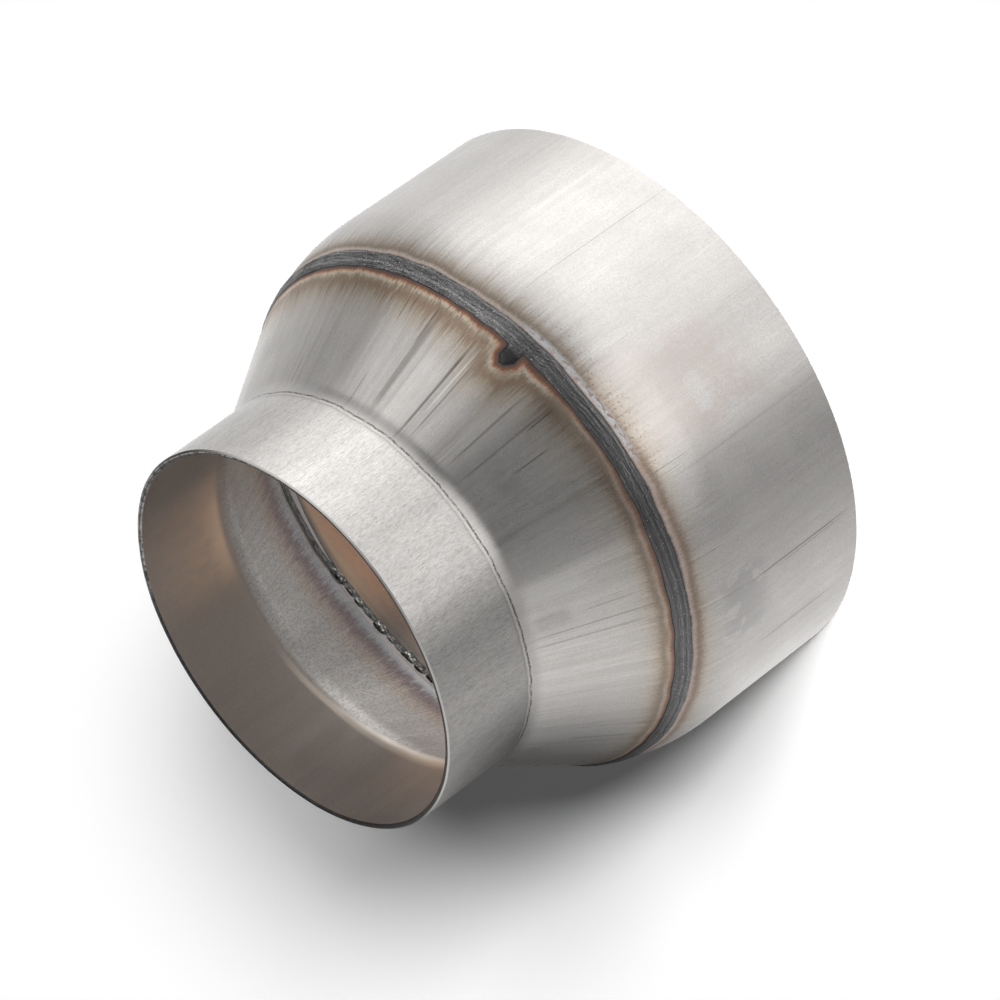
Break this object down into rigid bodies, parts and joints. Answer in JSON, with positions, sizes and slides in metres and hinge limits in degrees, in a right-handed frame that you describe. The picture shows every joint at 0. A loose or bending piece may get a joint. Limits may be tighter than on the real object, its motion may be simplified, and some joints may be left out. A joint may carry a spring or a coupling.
{
  "type": "exhaust pipe reducer",
  "caption": "Stainless exhaust reducer: a straight small collar flares through a tight neck and cone into a wide collar, joined by a weld round the shoulder.",
  "frame": {"origin": "centre of the large end's rim, on the tubes' axis; the reducer stands on that rim", "axes": "+Z along the tubes' axis from the large end to the small end; -Y is the side that the picture shows"},
  "size_m": [0.127, 0.127, 0.1006],
  "materials": {
    "cone_steel": "mill finish with draw marks along the axis, scratched, heat tinted beside the weld",
    "collar_steel": "mill finish with draw marks along the axis, scratched, heat tinted beside the weld",
    "weld_metal": "oxidised weld metal, dark grey and finely ridged"
  },
  "bodies": {
    "root": {"small_end_cone": "cone_steel", "large_end_collar": "collar_steel", "weld_bead": "weld_metal"}
  },
  "joints": []
}
